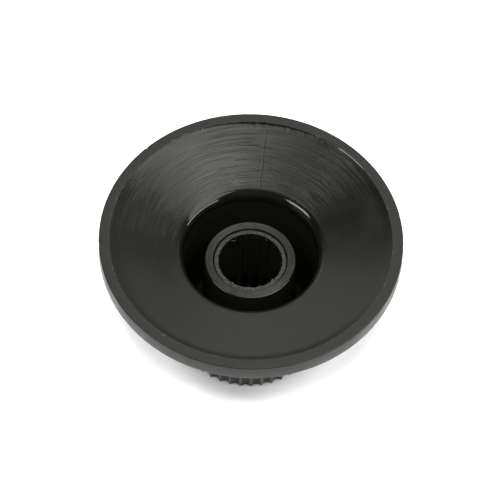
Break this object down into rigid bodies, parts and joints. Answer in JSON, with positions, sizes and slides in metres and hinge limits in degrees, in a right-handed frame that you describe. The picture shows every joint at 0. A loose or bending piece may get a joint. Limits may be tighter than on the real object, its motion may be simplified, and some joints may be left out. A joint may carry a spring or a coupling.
{
  "type": "skirted control knob",
  "caption": "Round push-on control knob with a wide dished skirt, a fluted grip, and a splined shaft socket in a boss inside its hollow underside.",
  "frame": {"origin": "centre of the end of the grip, on the surface that the knob stands on", "axes": "+Z along the shaft's axis, from the grip's end towards the open underside; the shaft enters from +Z. The knob is the same all round, so +X and +Y are free."},
  "size_m": [0.028, 0.028, 0.0154],
  "materials": {
    "knob_plastic": "satin-gloss black, with fine turned rings on the dished face",
    "bush_plastic": "plain black moulded plastic",
    "cap_plastic": "fine satin black"
  },
  "bodies": {
    "root": {"knob_body": "knob_plastic", "spline_bush": "bush_plastic", "end_cap": "cap_plastic"}
  },
  "joints": []
}
